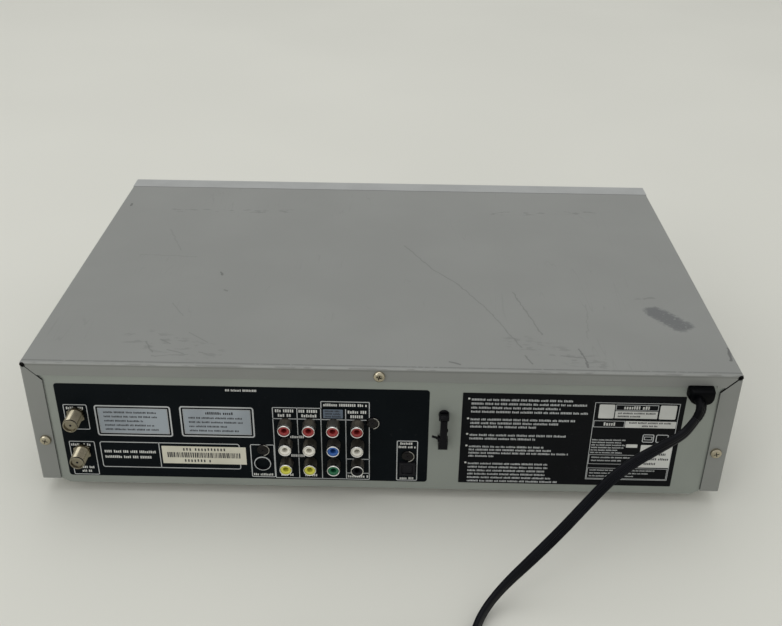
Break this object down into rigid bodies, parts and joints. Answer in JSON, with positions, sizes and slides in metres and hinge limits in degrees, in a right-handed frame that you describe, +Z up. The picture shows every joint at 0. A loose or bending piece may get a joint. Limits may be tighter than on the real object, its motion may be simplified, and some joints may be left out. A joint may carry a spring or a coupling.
{
  "type": "dvd vcr combo player",
  "caption": "Flat cuboid player for discs and video cassettes, with a disc tray, a cassette door, front keys, rear sockets and a mains lead.",
  "frame": {"origin": "on the floor, under the middle of the player's box without its lead", "axes": "+X to the player's right seen from its front, +Y to its back, +Z up"},
  "size_m": [0.434, 0.5225, 0.098],
  "materials": {
    "cover_paint": "satin grey paint on sheet steel",
    "panel_paint": "satin grey paint on sheet steel",
    "pan_steel": "zinc-plated sheet",
    "foot_rubber": "matte moulded rubber",
    "screw_steel": "yellow zinc",
    "screw_black": "black zinc",
    "can_steel": "tinned sheet",
    "socket_nickel": "dull nickel",
    "jack_metal": "worn nickel",
    "block_plastic": "moulded black",
    "jack_red": "moulded red",
    "jack_white": "moulded white",
    "jack_yellow": "moulded yellow",
    "jack_blue": "moulded blue",
    "jack_green": "moulded green",
    "bezel_plastic": "silver-grey painted moulding",
    "smoked_plastic": "dark polished",
    "key_plastic": "light silver moulding",
    "board_green": "solder-masked laminate",
    "board_brown": "paper laminate",
    "deck_steel": "plated sheet",
    "reel_plastic": "moulded pale grey",
    "drum_metal": "turned",
    "shaft_steel": "ground",
    "arm_steel": "plated sheet",
    "roller_rubber": "ground",
    "loader_plastic": "moulded dark grey",
    "tray_plastic": "moulded dark grey",
    "gear_plastic": "moulded natural",
    "clamp_plastic": "moulded grey",
    "cord_plastic": "soft black jacket",
    "grommet_plastic": "moulded black",
    "plug_plastic": "moulded black",
    "blade_brass": "plated",
    "clip_plastic": "moulded black"
  },
  "bodies": {
    "casing": {"top_cover": "cover_paint", "bottom_pan": "pan_steel", "feet": "foot_rubber", "rear_panel": "panel_paint", "cover_screws": "screw_steel", "panel_screws": "screw_black", "tuner_can": "can_steel", "antenna_sockets": "socket_nickel", "jack_block": "block_plastic", "jack_shells": "jack_metal", "red_jack_rings": "jack_red", "white_jack_rings": "jack_white", "yellow_jack_rings": "jack_yellow", "blue_jack_ring": "jack_blue", "green_jack_ring": "jack_green", "svideo_socket": "block_plastic", "optical_socket": "block_plastic", "front_bezel": "bezel_plastic", "display_window": "smoked_plastic", "front_board": "board_brown", "deck_plate": "deck_steel", "drum_base": "drum_metal", "loader_chassis": "loader_plastic", "clamp_bridge": "arm_steel", "main_board": "board_green", "power_board": "board_brown", "cord_grommet": "grommet_plastic", "cord_clip": "clip_plastic", "power_cord": "cord_plastic", "power_cord_coil": "cord_plastic", "plug_body": "plug_plastic", "plug_blades": "blade_brass"},
    "shutter": {"optical_shutter": "block_plastic"},
    "door": {"cassette_door": "bezel_plastic"},
    "carriage": {"holder_carriage": "arm_steel"},
    "holder": {"cassette_holder": "deck_steel"},
    "supply": {"supply_reel": "reel_plastic"},
    "takeup": {"takeup_reel": "reel_plastic"},
    "rotor": {"drum_rotor": "drum_metal"},
    "capstan_wheel": {"capstan": "shaft_steel"},
    "arm": {"pinch_arm": "arm_steel"},
    "roller": {"pinch_roller": "roller_rubber"},
    "tray": {"disc_tray": "tray_plastic", "tray_front": "bezel_plastic"},
    "gear": {"tray_gear": "gear_plastic"},
    "lift": {"traverse": "deck_steel"},
    "spindle": {"turntable": "block_plastic"},
    "sled": {"pickup_sled": "loader_plastic"},
    "clamp": {"clamp_disc": "clamp_plastic"},
    "rocker": {"channel_rocker": "key_plastic"},
    "strap": {"clip_strap": "clip_plastic"},
    "eject_key": {"eject_button": "key_plastic"},
    "rewind_key": {"rewind_button": "key_plastic"},
    "play_key": {"play_button": "key_plastic"},
    "forward_key": {"forward_button": "key_plastic"},
    "record_key": {"record_button": "key_plastic"},
    "disc_open_key": {"disc_open_button": "key_plastic"},
    "disc_play_key": {"disc_play_button": "key_plastic"},
    "disc_stop_key": {"disc_stop_button": "key_plastic"},
    "power_key": {"power_button": "key_plastic"}
  },
  "joints": [
    {"name": "shutter_hinge", "type": "hinge", "parent": "casing", "child": "shutter", "pos_m": [-0.0174, 0.14245, 0.0263], "axis": [-1, 0, 0], "range_deg": [0, 80], "stiffness_Nm_per_rad": 0.0004, "springref_deg": -14.9},
    {"name": "door_hinge", "type": "hinge", "parent": "casing", "child": "door", "pos_m": [0.1, -0.14895, 0.0834], "axis": [1, 0, 0], "range_deg": [0, 80], "stiffness_Nm_per_rad": 0.01, "springref_deg": -14.9},
    {"name": "carriage_slide", "type": "slide", "parent": "casing", "child": "carriage", "axis": [0, 1, 0], "range_m": [0, 0.065]},
    {"name": "holder_drop", "type": "slide", "parent": "carriage", "child": "holder", "axis": [0, 0, -1], "range_m": [0, 0.019]},
    {"name": "supply_spin", "type": "hinge", "parent": "casing", "child": "supply", "pos_m": [0.05395, -0.036, 0.0312], "axis": [0, 0, 1], "continuous": true},
    {"name": "takeup_spin", "type": "hinge", "parent": "casing", "child": "takeup", "pos_m": [0.14605, -0.036, 0.0312], "axis": [0, 0, 1], "continuous": true},
    {"name": "drum_spin", "type": "hinge", "parent": "casing", "child": "rotor", "pos_m": [0.1, 0.07, 0.0312], "axis": [0, -0.1045, 0.9945], "continuous": true},
    {"name": "capstan_spin", "type": "hinge", "parent": "casing", "child": "capstan_wheel", "pos_m": [0.16, 0.042, 0.0312], "axis": [0, 0, 1], "continuous": true},
    {"name": "pinch_swing", "type": "hinge", "parent": "casing", "child": "arm", "pos_m": [0.178, 0.062, 0.0312], "axis": [0, 0, -1], "range_deg": [0, 15.5], "stiffness_Nm_per_rad": 0.02, "springref_deg": -9.74},
    {"name": "roller_spin", "type": "hinge", "parent": "arm", "child": "roller", "pos_m": [0.174, 0.038, 0.045], "axis": [0, 0, 1], "continuous": true},
    {"name": "tray_slide", "type": "slide", "parent": "casing", "child": "tray", "axis": [0, -1, 0], "range_m": [0, 0.137]},
    {"name": "gear_spin", "type": "hinge", "parent": "casing", "child": "gear", "pos_m": [-0.16544, -0.108, 0.05], "axis": [0, 0, 1], "range_deg": [0, 786]},
    {"name": "lift_slide", "type": "slide", "parent": "casing", "child": "lift", "axis": [0, 0, 1], "range_m": [0, 0.0076]},
    {"name": "spindle_spin", "type": "hinge", "parent": "lift", "child": "spindle", "pos_m": [-0.115, -0.082, 0.05], "axis": [0, 0, 1], "continuous": true},
    {"name": "sled_slide", "type": "slide", "parent": "lift", "child": "sled", "axis": [0, 1, 0], "range_m": [0, 0.034]},
    {"name": "clamp_spin", "type": "hinge", "parent": "casing", "child": "clamp", "pos_m": [-0.115, -0.082, 0.078], "axis": [0, 0, 1], "continuous": true},
    {"name": "rocker_tilt", "type": "hinge", "parent": "casing", "child": "rocker", "pos_m": [0.188, -0.14845, 0.034], "axis": [1, 0, 0], "range_deg": [-3.5, 3.5], "stiffness_Nm_per_rad": 0.4},
    {"name": "strap_hinge", "type": "hinge", "parent": "casing", "child": "strap", "pos_m": [-0.039, 0.14565, 0.0658], "axis": [1, 0, 0], "range_deg": [0, 95]},
    {"name": "eject_key_press", "type": "slide", "parent": "casing", "child": "eject_key", "axis": [0, 1, 0], "range_m": [0, 0.0008], "stiffness_N_per_m": 800, "springref_m": -0.001},
    {"name": "rewind_key_press", "type": "slide", "parent": "casing", "child": "rewind_key", "axis": [0, 1, 0], "range_m": [0, 0.0008], "stiffness_N_per_m": 800, "springref_m": -0.001},
    {"name": "play_key_press", "type": "slide", "parent": "casing", "child": "play_key", "axis": [0, 1, 0], "range_m": [0, 0.0008], "stiffness_N_per_m": 800, "springref_m": -0.001},
    {"name": "forward_key_press", "type": "slide", "parent": "casing", "child": "forward_key", "axis": [0, 1, 0], "range_m": [0, 0.0008], "stiffness_N_per_m": 800, "springref_m": -0.001},
    {"name": "record_key_press", "type": "slide", "parent": "casing", "child": "record_key", "axis": [0, 1, 0], "range_m": [0, 0.0008], "stiffness_N_per_m": 800, "springref_m": -0.001},
    {"name": "disc_open_key_press", "type": "slide", "parent": "casing", "child": "disc_open_key", "axis": [0, 1, 0], "range_m": [0, 0.0008], "stiffness_N_per_m": 800, "springref_m": -0.001},
    {"name": "disc_play_key_press", "type": "slide", "parent": "casing", "child": "disc_play_key", "axis": [0, 1, 0], "range_m": [0, 0.0008], "stiffness_N_per_m": 800, "springref_m": -0.001},
    {"name": "disc_stop_key_press", "type": "slide", "parent": "casing", "child": "disc_stop_key", "axis": [0, 1, 0], "range_m": [0, 0.0008], "stiffness_N_per_m": 800, "springref_m": -0.001},
    {"name": "power_key_press", "type": "slide", "parent": "casing", "child": "power_key", "axis": [0, 1, 0], "range_m": [0, 0.0008], "stiffness_N_per_m": 800, "springref_m": -0.001}
  ],
  "couplings": [
    {"joint": "gear_spin", "follows": "tray_slide", "rad_per_m": 100}
  ]
}
